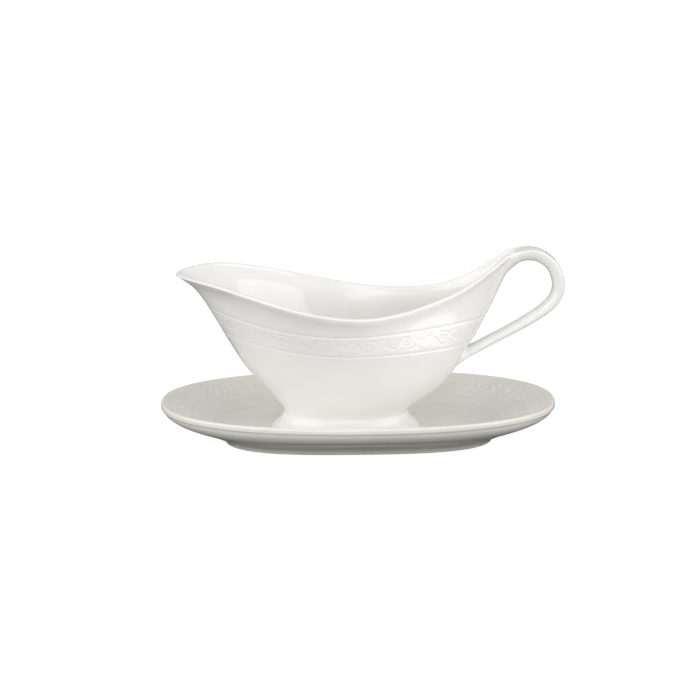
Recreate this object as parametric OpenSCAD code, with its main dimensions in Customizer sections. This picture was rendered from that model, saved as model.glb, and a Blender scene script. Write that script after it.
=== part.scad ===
// Gravy boat on its own oval stand.
// The boat is a sheered bowl with a pouring spout, a pedestal foot and a loop
// handle that grows out of the rim. It stands loose in the well of the stand.
// Millimetres, +Z up, spout towards -X. The origin is the centre of the
// stand's foot ring, on the table.

/* [Stand] */
// Length of the stand over its rim
stand_length = 220; // [185:1:264]
// Width of the stand over its rim
stand_width = 130; // [118:1:156]
// Height of the rim's crest above the table
stand_height = 22.3; // [18:0.1:28]
// Thickness of the rim's rounded lip
stand_lip = 3.2; // [2.5:0.1:4.5]
// Breadth of the flatter band inside the rim
band_breadth = 16.4; // [12:0.2:20]
// Thickness of the floor of the well
stand_floor = 3.8; // [3:0.1:5]
// Height of the foot ring's edge below the floor
ring_height = 2.8; // [2:0.1:4]
// Width of the foot ring where it stands on the table
ring_width = 3.4; // [2.4:0.1:5]
// Height of the well's edge above its floor
well_depth = 2.5; // [1.5:0.1:4]
// Floor left clear of the boat's foot at each end of the well
well_end_clearance = 31.5; // [15:0.5:34]
// Floor left clear of the boat's foot along each side of the well
well_side_clearance = 4.5; // [2:0.5:7]
// Breadth of the step between the well's floor and its edge
well_step = 5.5; // [4:0.5:8]
// Squareness of the rim's oval, where 2 is an ellipse
rim_squareness = 2.28; // [2:0.02:3]
// Squareness of the well's and the foot ring's ovals
well_squareness = 2.8; // [2:0.05:3.2]

/* [Bowl] */
// Reach of the spout from the middle of the foot
spout_reach = 93.5; // [80:0.5:112]
// Reach of the bowl's tail from the middle of the foot
tail_reach = 90.5; // [78:0.5:108]
// Width of the bowl over its rim
bowl_width = 106; // [88:1:126]
// Height of the rim at the spout, above the foot's base
spout_height = 88.7; // [80:0.1:104]
// Height of the rim at its lowest, above the foot's base
rim_height = 71.6; // [60:0.1:78]
// Height of the tail, where the handle starts, above the foot's base
tail_height = 98.6; // [88:0.1:116]
// Thickness of the rim
rim_wall = 3.0; // [2.4:0.1:4]
// Thickness of the bowl's floor
bowl_floor = 4.5; // [3.5:0.1:7]
// Thickness of the bowl's wall at the edge of its floor, measured level
bowl_wall = 3.2; // [2.4:0.1:5]

/* [Foot] */
// Length of the foot where it meets the bowl
waist_length = 68; // [58:1:75]
// Width of the foot where it meets the bowl
waist_width = 45; // [38:1:49]
// Length of the foot at its base
foot_length = 84; // [76:1:99]
// Width of the foot at its base
foot_width = 55; // [50:1:62]
// Height of the foot under the bowl
foot_height = 11.4; // [8:0.1:15]
// Thickness of the foot's wall
foot_wall = 3.4; // [2.6:0.1:5]
// Squareness of the foot's oval, where 2 is an ellipse
foot_squareness = 2.15; // [2:0.05:2.6]
// Place of the boat along the stand, where 0 is the middle
boat_place = -7; // [-10:0.5:10]

/* [Handle] */
// Half width of the strap where it leaves the rim
strap_start = 8; // [6.5:0.1:10]
// Half width of the strap over the arch
strap_arch = 6.6; // [5:0.1:8]
// Half width of the strap along its lower arm
strap_arm = 5.3; // [4.2:0.1:7]
// Thickness of the tail at the handle's start, from the rim's edge to the keel
tail_depth = 7.8; // [6:0.1:10]
// Depth of the trough between the two rims at the handle's start
trough_depth = 2; // [0.6:0.1:3]
// Thickness of the strap over the arch
arch_thickness = 7.9; // [6:0.1:9.5]
// Thickness of the strap along its lower arm
arm_thickness = 4.9; // [4:0.1:6.5]
// How far the arch stands out past the tail
handle_reach = 28.2; // [22:0.2:34]
// Height on the wall of the handle's lower root, as a share of the wall
root_level = 0.335; // [0.3:0.005:0.42]

/* [Hidden] */

glaze = [0.93, 0.93, 0.91];

// Places that several pieces share
well_floor_z = ring_height + stand_floor;
waist_z = foot_height;
tail_slope = 33;
well_length = foot_length + 2 * well_end_clearance;
well_width = foot_width + 2 * well_side_clearance;

// Points round an oval, and along one half of the bowl's rim
stand_points = 96;
foot_points = 72;
span_steps = 3;
end_steps = 6;
section_steps = 2 * end_steps;

// ---------------------------------------------------------------- curves

function power(v, p) = sign(v) * pow(abs(v), p);

// Point of an oval of half length a and half width b, at an angle
function oval_point(a, b, n, angle) =
    [a * power(cos(angle), 2 / n), b * power(sin(angle), 2 / n)];

// Ring of an oval [half length, half width, squareness, height]
function oval_ring(o, count) =
    [for (i = [0:count - 1])
        let (p = oval_point(o[0], o[1], o[2], 360 * i / count))
        [p.x, p.y, o[3]]];

// Smooth curve through points, where t counts them from 0
function spline(points, t) =
    let (
        last = len(points) - 1,
        i = min(max(floor(t), 0), last - 1),
        f = t - i,
        b = points[i],
        c = points[i + 1],
        a = i > 0 ? points[i - 1] : 2 * b - c,
        d = i + 2 <= last ? points[i + 2] : 2 * c - b
    )
    b + 0.5 * f * (c - a + f * (2 * a - 5 * b + 4 * c - d + f * (3 * (b - c) + d - a)));

function slope_at(table, i) =
    let (low = max(i - 1, 0), high = min(i + 1, len(table) - 1))
    (table[high][1] - table[low][1]) / (table[high][0] - table[low][0]);

// Smooth value from a table of [place, value] pairs
function smooth_lookup(table, x) =
    let (
        below = [for (i = [0:len(table) - 2]) if (table[i][0] <= x) i],
        i = len(below) > 0 ? below[len(below) - 1] : 0,
        width = table[i + 1][0] - table[i][0],
        t = (x - table[i][0]) / width
    )
    (1 + 2 * t) * pow(1 - t, 2) * table[i][1]
        + t * pow(1 - t, 2) * width * slope_at(table, i)
        + t * t * (3 - 2 * t) * table[i + 1][1]
        + t * t * (t - 1) * width * slope_at(table, i + 1);

// ---------------------------------------------------------------- solids

// Faces between neighbouring rings of count points each
function side_faces(rings, count) =
    [for (r = [0:rings - 2], i = [0:count - 1])
        let (j = (i + 1) % count, low = r * count, high = low + count)
        each [[low + i, low + j, high + j], [low + i, high + j, high + i]]];

// Solid whose skin passes through rings, with a flat or domed face at each end
module skin(rings) {
    count = len(rings[0]);
    last = (len(rings) - 1) * count;
    points = [for (ring = rings) each ring];
    start_face = [for (i = [count - 1:-1:0]) i];
    end_face = [for (i = [0:count - 1]) last + i];
    polyhedron(
        points = points,
        faces = concat([start_face], side_faces(len(rings), count), [end_face])
    );
}

// Solid like a tyre, whose skin passes through rings and back to the first
module closed_skin(rings) {
    count = len(rings[0]);
    points = [for (ring = rings) each ring];
    total = len(points);
    faces = side_faces(len(rings) + 1, count);
    polyhedron(points = points, faces = [for (f = faces) [for (v = f) v % total]]);
}

// ----------------------------------------------------------------- stand

// Share of the rise, from the well's edge to the crest, at the band's inner line
band_rise = 0.47;

// How the underside rises: [share of its breadth, share of its height]
under_rise = [[0, 0], [0.2, 0.18], [0.45, 0.36], [0.7, 0.555], [0.9, 0.745], [1, 1]];

crest_oval = [(stand_length - stand_lip) / 2, (stand_width - stand_lip) / 2, rim_squareness, stand_height];
well_edge = [
    well_length / 2 + well_step, well_width / 2 + well_step,
    well_squareness, well_floor_z + well_depth
];
band_oval = [
    crest_oval[0] - band_breadth, crest_oval[1] - band_breadth, rim_squareness + 0.12,
    well_edge[3] + (stand_height - well_edge[3]) * band_rise
];

function between(a, b, share) = a + (b - a) * share;

// Ovals round the lip, outwards and down from its crest
function lip_oval(angle) =
    let (r = stand_lip / 2)
    crest_oval + r * [sin(angle), sin(angle), 0, cos(angle) - 1];

// Ovals of the underside, from the top of the foot ring out to the lip
function under_oval(share, corner) =
    let (outer = between(corner, lip_oval(150), share))
    [outer[0], outer[1], outer[2], between(corner[3], lip_oval(150)[3], smooth_lookup(under_rise, share))];

module stand() {
    ring_a = well_length / 2 + 0.6;
    ring_b = well_width / 2 + 4.8;
    corner = [ring_a + 5.2, ring_b + 4.8, well_squareness, ring_height + 1.7];
    top_ovals = [
        [well_length / 2, well_width / 2, well_squareness, well_floor_z],
        [
            well_length / 2 + well_step * 0.6, well_width / 2 + well_step * 0.6,
            well_squareness, well_floor_z + well_depth * 0.5
        ],
        well_edge,
        between(well_edge, band_oval, 0.5),
        band_oval,
        between(band_oval, crest_oval, 0.5),
        between(band_oval, crest_oval, 0.85)
    ];
    under_ovals = concat(
        [for (share = [0.94, 0.8, 0.6, 0.4, 0.2]) under_oval(share, corner)],
        [
            corner,
            [ring_a + 2.2, ring_b + 2.2, well_squareness, ring_height],
            [ring_a + 1, ring_b + 1, well_squareness, ring_height * 0.5],
            [ring_a - 0.8, ring_b - 0.8, well_squareness, -1],
            [ring_a - ring_width + 0.4, ring_b - ring_width + 0.4, well_squareness, -1],
            [ring_a - ring_width - 1.2, ring_b - ring_width - 1.2, well_squareness, ring_height]
        ]
    );
    ovals = concat(top_ovals, [for (angle = [0:30:150]) lip_oval(angle)], under_ovals);
    color(glaze)
        difference() {
            skin([for (o = ovals) oval_ring(o, stand_points)]);
            // The foot ring is ground flat
            translate([-stand_length, -stand_width, -6])
                cube([stand_length * 2, stand_width * 2, 6]);
        }
}

// ------------------------------------------------------------------ boat

// Everything of the boat is drawn from the middle of its foot's base
module on_the_stand() {
    translate([boat_place, 0, well_floor_z]) children();
}

// The rim from the spout's tip to the tail, on one side: shares of the reach,
// of the half width, and of the rise above the rim's lowest height
rim_stations = [
    [-1.000, 0.000, 0.985], [-0.973, 0.184, 0.995], [-0.893, 0.398, 1.0], [-0.743, 0.649, 0.924],
    [-0.551, 0.854, 0.694], [-0.316, 0.990, 0.376], [-0.080, 0.985, 0.118], [0.138, 0.870, 0.0],
    [0.337, 0.668, 0.027], [0.514, 0.475, 0.13], [0.669, 0.345, 0.293], [0.801, 0.26, 0.525],
    [0.912, 0.2, 0.785]
];

function station_point(s) = [
    s[0] * (s[0] < 0 ? spout_reach : tail_reach),
    s[1] * bowl_width / 2,
    rim_height + s[2] * ((s[0] < 0.1 ? spout_height : tail_height) - rim_height)
];

tail_corner = [tail_reach, strap_start, tail_height];
rim_guides = let (first = station_point(rim_stations[1])) concat(
    [[first.x, -first.y, first.z]],
    [for (s = rim_stations) station_point(s)],
    [tail_corner],
    [tail_corner + [8, -0.8, 4.8]]
);
rim_spans = len(rim_guides) - 3;

// Outermost line of the rim, from the spout's tip round to the tail's corner
rim_line = [for (i = [0:rim_spans * span_steps]) spline(rim_guides, 1 + i / span_steps)];

// A point of the tail's end face: out to the side, and in from the rim's edge
function tail_point(side, depth) =
    [tail_reach + depth * sin(tail_slope), side, tail_height - depth * cos(tail_slope)];

// Level unit vector that points out of the rim
function outward(line, i) =
    let (
        a = i == 0 ? [line[1].x, -line[1].y] : [line[i - 1].x, line[i - 1].y],
        b = i == len(line) - 1 ? [line[i].x, line[i].y] : [line[i + 1].x, line[i + 1].y],
        along = (b - a) / norm(b - a)
    )
    [-along.y, along.x, 0];

// Half a ring of the bowl's top edge, inset from the outermost line, ending
// down the tail's end face
function top_edge(inset, lift, side, depth) = concat(
    [for (i = [0:len(rim_line) - 2]) rim_line[i] - inset * outward(rim_line, i) + [0, 0, lift]],
    [for (i = [0:end_steps])
        let (angle = 90 * i / end_steps)
        tail_point(side * power(cos(angle), 0.85), depth * power(sin(angle), 0.85) - (i == 0 ? lift : 0))]
);

crest_inset = rim_wall / 2;
lip_round = 1.2;
outer_top = top_edge(0, -lip_round, strap_start, tail_depth);
crest_top = top_edge(crest_inset, 0, strap_start - crest_inset, (tail_depth + trough_depth) / 2);
inner_top = top_edge(rim_wall, -lip_round, strap_start - rim_wall, trough_depth);

// How far out the wall has come at a share of its height, at the spout, along
// the sides and at the tail
spout_wall = [[0, 0], [0.12, 0.134], [0.3, 0.345], [0.5, 0.512], [0.7, 0.66], [0.86, 0.788], [0.93, 0.872], [1, 1]];
side_wall = [
    [0, 0], [0.12, 0.22], [0.3, 0.44], [0.5, 0.61], [0.7, 0.765],
    [0.86, 0.862], [0.92, 0.92], [0.96, 0.985], [1, 1]
];
tail_wall = [[0, 0], [0.1, 0.212], [0.25, 0.44], [0.45, 0.615], [0.65, 0.75], [0.85, 0.858], [0.94, 0.914], [1, 1]];

// How far a level ring of the wall has left its plain oval for the outline of
// the rim, so that the bowl stays full below and pinches to a neck above
neck = [[0, 0], [0.2, 0.03], [0.4, 0.15], [0.6, 0.38], [0.8, 0.7], [0.9, 0.86], [1, 1]];

// One skin of the bowl: [half length and half width of its base, height of its
// base, reach of its spout, reach of its tail, half width of its rim]
outer_skin = [
    waist_length / 2, waist_width / 2, waist_z,
    spout_reach, tail_reach, bowl_width / 2
];
inner_skin = [
    waist_length / 2 - bowl_wall, waist_width / 2 - bowl_wall, waist_z + bowl_floor,
    spout_reach - rim_wall, tail_reach - 1.5, bowl_width / 2 - rim_wall
];

// Radius of an oval of half size 1, at an angle
function oval_radius(n, angle) =
    1 / pow(pow(abs(cos(angle)), n) + pow(abs(sin(angle)), n), 1 / n);

// Point of a skin below a point of its top edge, at a share of the height
function wall_point(top, skin, level) =
    let (
        reach = top.x < 0 ? skin[3] : skin[4],
        u = [top.x / reach, top.y / skin[5]],
        angle = atan2(u.y, u.x),
        oval = oval_radius(foot_squareness, angle),
        radius = oval + (norm(u) - oval) * smooth_lookup(neck, level),
        end_wall = top.x < 0 ? spout_wall : tail_wall,
        along = skin[0] + (reach - skin[0]) * smooth_lookup(end_wall, level),
        across = skin[1] + (skin[5] - skin[1]) * smooth_lookup(side_wall, level)
    )
    [
        along * radius * cos(angle),
        across * radius * sin(angle),
        skin[2] + (top.z - skin[2]) * level
    ];

// Whole ring from one half: down one side to the tail and back up the other
function whole_ring(half) = concat(
    half,
    [for (i = [len(half) - 2:-1:1]) [half[i].x, -half[i].y, half[i].z]]
);

function wall_ring(top, skin, level) = whole_ring([for (p = top) wall_point(p, skin, level)]);

module bowl() {
    outer_levels = [0, 0.05, 0.1, 0.16, 0.22, 0.28, 0.34, 0.4, 0.46, 0.54, 0.63, 0.72, 0.8, 0.87, 0.93, 0.97, 1];
    inner_levels = [1, 0.97, 0.93, 0.87, 0.78, 0.68, 0.57, 0.46, 0.35, 0.24, 0.14, 0.06, 0];
    color(glaze) on_the_stand()
        skin(concat(
            [for (v = outer_levels) wall_ring(outer_top, outer_skin, v)],
            [whole_ring(crest_top)],
            [for (v = inner_levels) wall_ring(inner_top, inner_skin, v)]
        ));
}

// ------------------------------------------------------------------ foot

// The foot's outer line flares: [share of its height, share of its spread]
foot_flare = [[0, 1], [0.12, 0.96], [0.5, 0.46], [0.85, 0.09], [1, 0]];

function foot_oval(share, inset) =
    let (spread = smooth_lookup(foot_flare, share))
    [
        waist_length / 2 + (foot_length - waist_length) / 2 * spread - inset,
        waist_width / 2 + (foot_width - waist_width) / 2 * spread - inset,
        foot_squareness,
        waist_z * share
    ];

module foot() {
    shares = [0, 0.12, 0.3, 0.5, 0.7, 0.85, 1];
    ovals = concat(
        [for (s = shares) foot_oval(s, 0)],
        [for (i = [len(shares) - 1:-1:0]) foot_oval(shares[i], foot_wall)]
    );
    color(glaze) on_the_stand()
        closed_skin([for (o = ovals) oval_ring(o, foot_points)]);
}

// ---------------------------------------------------------------- handle

// The strap's line from the tail over the arch and back along the lower arm,
// as shares of the handle's reach, [out from the tail, up from the tail]
strap_line = [
    [0, 0], [0.17, 0.055], [0.37, 0.06], [0.58, 0.018], [0.766, -0.106], [0.92, -0.309],
    [1.0, -0.553], [0.99, -0.794], [0.886, -0.99], [0.69, -1.17], [0.375, -1.372],
    [0.02, -1.567], [-0.337, -1.755], [-0.60, -1.905]
];

// Half width, inner thickness and outer thickness of the strap at each point
arch_inner = arch_thickness * 0.7;
arch_outer = arch_thickness * 0.26;
arm_half = arm_thickness / 2;
strap_sizes = [
    [strap_start, tail_depth, -trough_depth],
    [(strap_start + strap_arch) / 2, arch_inner + 1.2, arch_outer * 0.4],
    [strap_arch, arch_inner + 1, arch_outer],
    [strap_arch, arch_inner + 0.2, arch_outer + 0.1],
    [strap_arch - 0.2, arch_inner - 0.2, arch_outer + 0.2],
    [strap_arch - 0.4, arch_inner - 0.7, arch_outer + 0.3],
    [strap_arch - 0.6, arm_half + 2.1, arm_half + 0.2],
    [strap_arm + 0.5, arm_half + 1.9, arm_half + 0.1],
    [strap_arm + 0.3, arm_half + 1.4, arm_half],
    [strap_arm + 0.1, arm_half + 1.0, arm_half],
    [strap_arm, arm_half + 0.6, arm_half],
    [strap_arm, arm_half, arm_half],
    [strap_arm + 0.2, arm_half, arm_half],
    [strap_arm + 0.8, arm_half + 0.4, arm_half - 0.2]
];
strap_last = len(strap_line) - 1;

function strap_place(t) =
    let (p = spline(strap_line, t) * handle_reach)
    [tail_reach + p[0], tail_height + p[1]];

// Direction along the strap in the plane of the boat, in degrees
function strap_heading(t) =
    t <= 0 ? tail_slope
    : let (d = strap_place(t + 0.02) - strap_place(t - 0.02)) atan2(d.y, d.x);

// Ring across the strap: round the inner side, then back over the outer side
function strap_ring(t) =
    let (
        at = strap_place(t),
        heading = strap_heading(t),
        size = spline(strap_sizes, t)
    )
    [for (i = [0:2 * section_steps - 1])
        let (
            angle = 180 * i / section_steps,
            side = size[0] * power(cos(angle), 0.85),
            inner = i <= section_steps,
            depth = (inner ? size[1] : size[2]) * power(sin(angle), 0.85)
        )
        [at[0] + depth * sin(heading), side, at[1] - depth * cos(heading)]];

// Where the handle's root lies on the bowl's wall: half its width, and how far
// it reaches up and down the wall as shares of the wall's height
root_width = strap_arm + 4.2;
root_up = 0.115;
root_down = 0.085;

// Point of the bowl's outer wall at the tail, by its distance from the middle
function tail_wall_point(side, level) =
    let (
        last = len(outer_top) - 1,
        line = [for (i = [last:-1:last - 20]) wall_point(outer_top[i], outer_skin, level)],
        past = [for (i = [1:len(line) - 1]) if (line[i].y >= abs(side)) i],
        i = past[0],
        share = (abs(side) - line[i - 1].y) / (line[i].y - line[i - 1].y),
        p = between(line[i - 1], line[i], share)
    )
    [p.x, side, p.z];

// Ring on the wall, shrunk by a share towards its middle
function root_ring(share) =
    [for (i = [0:2 * section_steps - 1])
        let (
            angle = 180 * i / section_steps,
            up = sin(angle) > 0 ? root_up : root_down
        )
        tail_wall_point(share * root_width * cos(angle), root_level + share * up * sin(angle))];

// Ring between the strap's end and the wall, easing out into the wall
function fillet_ring(share) =
    let (
        strap = strap_ring(strap_last),
        before = strap_ring(strap_last - 0.6),
        wall = root_ring(1),
        inside = root_ring(0.72)
    )
    [for (i = [0:len(strap) - 1])
        let (
            lean = strap[i] - before[i],
            a = strap[i],
            b = strap[i] + 0.9 * lean,
            c = inside[i] + 0.35 * (b - inside[i]),
            d = wall[i],
            u = 1 - share
        )
        u * u * u * a + 3 * u * u * share * b + 3 * u * share * share * c + share * share * share * d];

module handle() {
    steps = 3;
    strap = [for (i = [0:strap_last * steps]) strap_ring(i / steps)];
    fillet = [for (share = [0.25, 0.5, 0.75, 1]) fillet_ring(share)];
    cap = [for (share = [0.8, 0.6, 0.4, 0.2, 0.05]) root_ring(share)];
    color(glaze) on_the_stand()
        skin([for (ring = concat(strap, fillet, cap)) [for (i = [len(ring) - 1:-1:0]) ring[i]]]);
}

stand();
bowl();
foot();
handle();
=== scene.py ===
"""A white porcelain gravy boat on its own oval stand, ready to serve.

The boat is one glazed piece: a sheered bowl with a pouring spout, a pedestal
foot and a loop handle drawn out of the rim. A scroll band in low relief runs
round it between two raised lines, and a matching band runs round the stand's
rim. Shapes are worked out in millimetres in the boat's and the stand's own
places and turned to metres when a mesh is made.
"""
import logging
import math
from dataclasses import dataclass, field
from enum import IntEnum
from typing import Sequence

import bpy
import numpy as np
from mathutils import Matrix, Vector


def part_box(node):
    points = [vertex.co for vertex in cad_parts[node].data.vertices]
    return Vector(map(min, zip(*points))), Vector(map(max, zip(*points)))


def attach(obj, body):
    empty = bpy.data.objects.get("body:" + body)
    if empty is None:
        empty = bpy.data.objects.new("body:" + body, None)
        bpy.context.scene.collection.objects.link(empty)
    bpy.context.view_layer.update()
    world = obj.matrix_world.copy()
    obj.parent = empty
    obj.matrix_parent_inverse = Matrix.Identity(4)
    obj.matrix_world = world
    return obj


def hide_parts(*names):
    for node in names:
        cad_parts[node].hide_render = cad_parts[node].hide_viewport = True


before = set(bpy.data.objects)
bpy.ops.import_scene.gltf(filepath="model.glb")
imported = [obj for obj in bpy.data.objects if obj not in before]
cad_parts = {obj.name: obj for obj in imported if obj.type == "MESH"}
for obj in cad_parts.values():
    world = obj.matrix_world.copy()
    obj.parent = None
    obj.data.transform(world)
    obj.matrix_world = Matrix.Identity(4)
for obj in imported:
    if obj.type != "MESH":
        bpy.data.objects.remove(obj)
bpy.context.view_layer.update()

log = logging.getLogger("gravy_boat")

MM = 0.001
Array = np.ndarray
Table = Sequence[tuple[float, float]]


# ------------------------------------------------------------------ curves


def smooth_lookup(table: Table, x: Array) -> Array:
    """Smooth values from a table of (place, value) pairs.

    Args:
        table: The pairs, in order of place.
        x: The places to look up.

    Returns:
        The values, the same shape as x.
    """
    xs, ys = np.array(table, float).T
    x = np.asarray(x, float)
    slopes = np.empty_like(ys)
    slopes[1:-1] = (ys[2:] - ys[:-2]) / (xs[2:] - xs[:-2])
    slopes[0] = (ys[1] - ys[0]) / (xs[1] - xs[0])
    slopes[-1] = (ys[-1] - ys[-2]) / (xs[-1] - xs[-2])
    i = np.clip(np.searchsorted(xs, x, side="right") - 1, 0, len(xs) - 2)
    width = xs[i + 1] - xs[i]
    t = (x - xs[i]) / width
    return (
        (1 + 2 * t) * (1 - t) ** 2 * ys[i]
        + t * (1 - t) ** 2 * width * slopes[i]
        + t * t * (3 - 2 * t) * ys[i + 1]
        + t * t * (t - 1) * width * slopes[i + 1]
    )


def spline(points: Array, t: Array) -> Array:
    """Smooth curve through points, where t counts them from 0.

    Args:
        points: The points, one a row.
        t: Places along the curve.

    Returns:
        One point for each place.
    """
    points, t = np.asarray(points, float), np.asarray(t, float)
    last = len(points) - 1
    i = np.clip(np.floor(t).astype(int), 0, last - 1)
    f = (t - i)[:, None]
    b, c = points[i], points[i + 1]
    a = np.where((i > 0)[:, None], points[np.maximum(i - 1, 0)], 2 * b - c)
    d = np.where((i + 2 <= last)[:, None], points[np.minimum(i + 2, last)], 2 * c - b)
    return b + 0.5 * f * (c - a + f * (2 * a - 5 * b + 4 * c - d + f * (3 * (b - c) + d - a)))


def even_steps(points: Array, count: int) -> Array:
    """Places, counted in points, that are evenly spaced along a polyline.

    Args:
        points: The polyline, one point a row.
        count: How many places to give, both ends included.

    Returns:
        The places, as fractions of a point's number.
    """
    run = np.concatenate([[0], np.cumsum(np.linalg.norm(np.diff(points, axis=0), axis=1))])
    return np.interp(np.linspace(0, run[-1], count), run, np.arange(len(points)))


def ease(x: Array) -> Array:
    """Smooth step from 0 to 1 as x goes from 0 to 1.

    Args:
        x: The values, which may lie past either end.

    Returns:
        The eased values.
    """
    x = np.clip(x, 0, 1)
    return x * x * (3 - 2 * x)


def power(v: Array, p: float) -> Array:
    """Power that keeps the sign."""
    return np.sign(v) * np.abs(v) ** p


def grid_normals(grid: Array) -> Array:
    """Unit normals of a grid of points that closes on itself along its columns.

    Args:
        grid: Points, rows by columns by 3.

    Returns:
        Normals of the same shape, to the right of the rows as they climb.
    """
    along = np.roll(grid, -1, axis=1) - np.roll(grid, 1, axis=1)
    up = np.gradient(grid, axis=0)
    n = np.cross(along, up)
    return n / np.maximum(np.linalg.norm(n, axis=2, keepdims=True), 1e-9)


# ---------------------------------------------------------------- ornament


@dataclass(frozen=True)
class Stroke:
    """One modelled line of an ornament, as a chain of points in millimetres."""

    points: tuple[tuple[float, float], ...]
    half_width: tuple[float, float] = (0.8, 0.5)
    height: float = 1.0

    def relief(self, u: Array, w: Array) -> Array:
        """Height of the stroke over a band.

        Args:
            u: Distance along the band.
            w: Distance across it from its middle line.

        Returns:
            The heights, the same shape as u.
        """
        count = len(self.points)
        chain = spline(np.array(self.points), np.linspace(0, count - 1, 14 * count))
        widths = np.linspace(*self.half_width, len(chain))
        top = np.zeros_like(u)
        for (cu, cw), width in zip(chain, widths):
            away = ((u - cu) ** 2 + (w - cw) ** 2) / width**2
            top = np.maximum(top, 1 - away)
        return self.height * np.sqrt(np.clip(top, 0, 1))


@dataclass(frozen=True)
class Petal:
    """One leaf or petal: a domed oval with a point at its far end."""

    at: tuple[float, float]
    angle: float
    length: float
    width: float
    height: float = 0.8

    def relief(self, u: Array, w: Array) -> Array:
        """Height of the petal over a band.

        Args:
            u: Distance along the band.
            w: Distance across it from its middle line.

        Returns:
            The heights, the same shape as u.
        """
        c, s = math.cos(math.radians(self.angle)), math.sin(math.radians(self.angle))
        du, dw = u - self.at[0], w - self.at[1]
        x = (du * c + dw * s) / self.length
        y = (-du * s + dw * c) / self.width
        x0 = np.clip(x, 0, 1)
        swell = np.sqrt(np.clip(x0 * (1 - x0) * 4, 0, 1)) + 1e-6
        dome = np.clip(1 - (y / swell) ** 2, 0, 1) * ((x > 0) & (x < 1))
        rib = 1 - 0.35 * np.exp(-((y / 0.22) ** 2))
        return self.height * np.sqrt(dome) * np.sqrt(swell) * rib


@dataclass(frozen=True)
class ScrollBand:
    """A running scroll of the maker's own drawing, repeated along a band.

    Each repeat holds a stem that waves across the band, a volute that winds
    into a rosette, and leaves that fill the corners. Every other repeat is
    turned over, and an oval boss sits between pairs.
    """

    repeat: float
    breadth: float
    cell_length: float = 22.0
    cell_breadth: float = 10.0

    def marks(self) -> list[Stroke | Petal]:
        """Draws one repeat in its cell.

        Returns:
            The strokes and petals, in the cell's own millimetres.
        """
        turns = np.linspace(0, 2.6 * math.pi, 22)
        radius = 3.5 - 2.75 * turns / turns[-1]
        angle = math.radians(205) + turns
        volute = [(11.5 + r * math.cos(a), -0.4 + r * math.sin(a)) for r, a in zip(radius, angle)]
        stem = [(0, 0), (2.2, 2.3), (4.4, 2.4), (6.6, 0.9), volute[0]]
        far_stem = [(11.0, 3.6), (14.4, 3.2), (17.0, 1.4), (19.4, -1.4), (22, 0)]
        return [
            Stroke(tuple(stem), (0.75, 0.9)),
            Stroke(tuple(volute), (0.9, 0.5)),
            Stroke(tuple(far_stem), (0.6, 0.75)),
            Petal((11.5, -0.4), 0, 1.5, 0.9, 1.0),
            Petal((11.5, -0.4), 120, 1.5, 0.9, 1.0),
            Petal((11.5, -0.4), 240, 1.5, 0.9, 1.0),
            Petal((4.4, 1.9), 58, 3.2, 1.1),
            Petal((5.6, 0.6), -78, 4.6, 1.2),
            Petal((3.2, 1.2), -52, 4.4, 1.0),
            Petal((16.4, 1.9), 40, 3.6, 1.1),
            Petal((17.4, 0.4), -96, 4.4, 1.2),
            Petal((15.6, 2.2), -62, 4.0, 0.9),
            Petal((19.6, -1.2), 68, 4.4, 1.1),
        ]

    def relief(self, u: Array, w: Array) -> Array:
        """Height of the ornament, from 0 to 1, where its ground is 0.

        Args:
            u: Distance along the band.
            w: Distance across it from its middle line.

        Returns:
            The heights, the same shape as u.
        """
        cell = np.floor(u / self.repeat)
        turned = np.where(cell % 2 == 0, 1.0, -1.0)
        cu = (u / self.repeat - cell) * self.cell_length
        cw = turned * w * self.cell_breadth / self.breadth
        top = np.zeros_like(u)
        for mark in self.marks():
            top = np.maximum(top, mark.relief(cu, cw))
        joint = np.minimum(cu, self.cell_length - cu)
        boss = np.sqrt(np.clip(1 - (joint / 1.5) ** 2 - (cw / 2.3) ** 2, 0, 1))
        hollow = np.exp(-(((joint / 1.5) ** 2 + (cw / 2.3) ** 2 - 1.7) ** 2) / 0.25)
        top = np.maximum(top * (1 - 0.8 * hollow), boss)
        return top * ease((self.breadth * 0.5 - np.abs(w)) / 0.6)


# ------------------------------------------------------------------ meshes


class Surface(IntEnum):
    """Which of a piece's two finishes a face wears."""

    GLAZED = 0
    BARE = 1


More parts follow.
